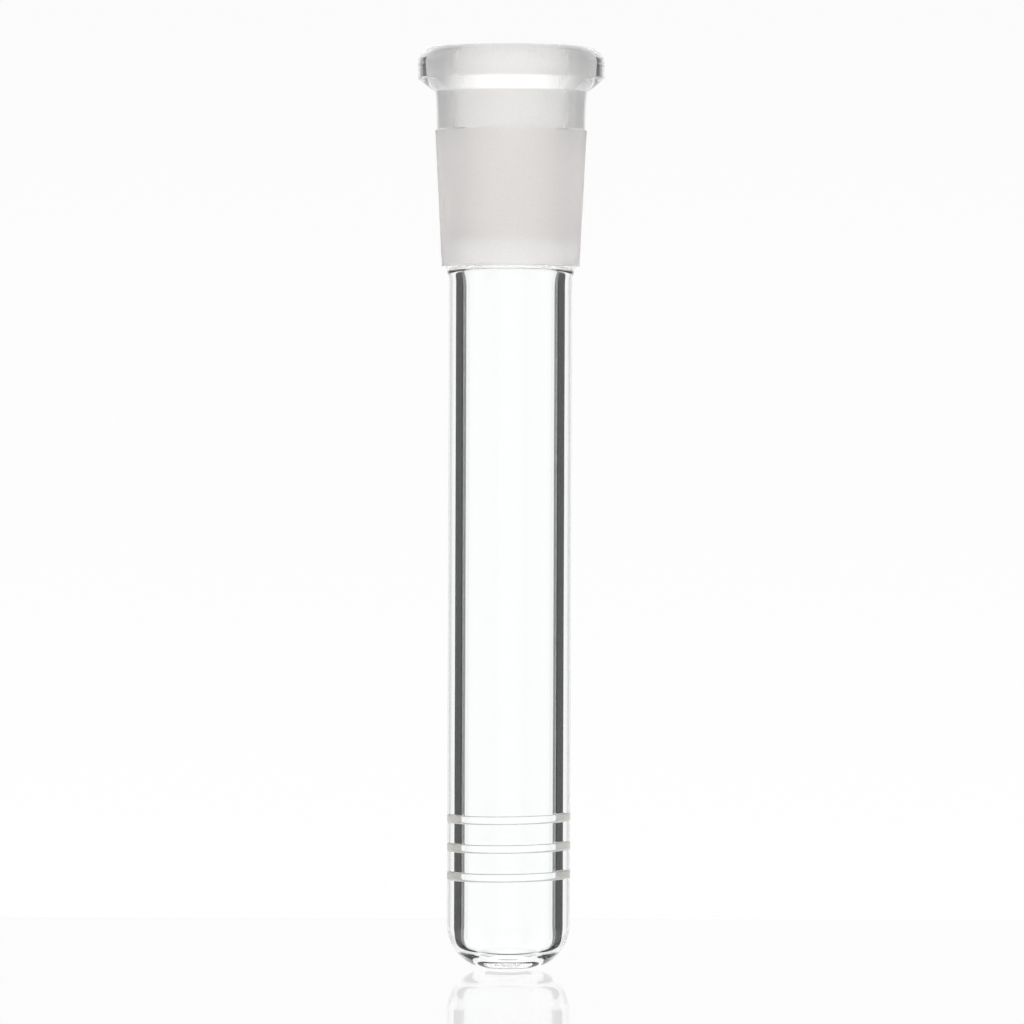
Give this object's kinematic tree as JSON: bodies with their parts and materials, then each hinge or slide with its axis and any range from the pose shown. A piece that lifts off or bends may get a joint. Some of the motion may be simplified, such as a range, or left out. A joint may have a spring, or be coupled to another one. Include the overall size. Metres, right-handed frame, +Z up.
{
  "type": "slotted gas inlet tube",
  "caption": "Closed-end clear glass inlet tube with sawn diffuser slits, a rolled collar, and a ground cone outside and ground socket inside its head.",
  "frame": {"origin": "centre of the flat foot that the tube stands on", "axes": "+Z up along the tube's axis to the rim, -Y towards the slotted side"},
  "size_m": [0.0232, 0.0232, 0.1143],
  "materials": {
    "clear_glass": "fire-polished clear borosilicate glass",
    "ground_glass": "fine ground, frosted borosilicate glass"
  },
  "bodies": {
    "root": {"rim_collar": "clear_glass", "socket_neck": "clear_glass", "ground_cone": "ground_glass", "ring_seal": "clear_glass", "stem_tube": "clear_glass", "slotted_section": "clear_glass", "closed_base": "clear_glass"}
  },
  "joints": []
}
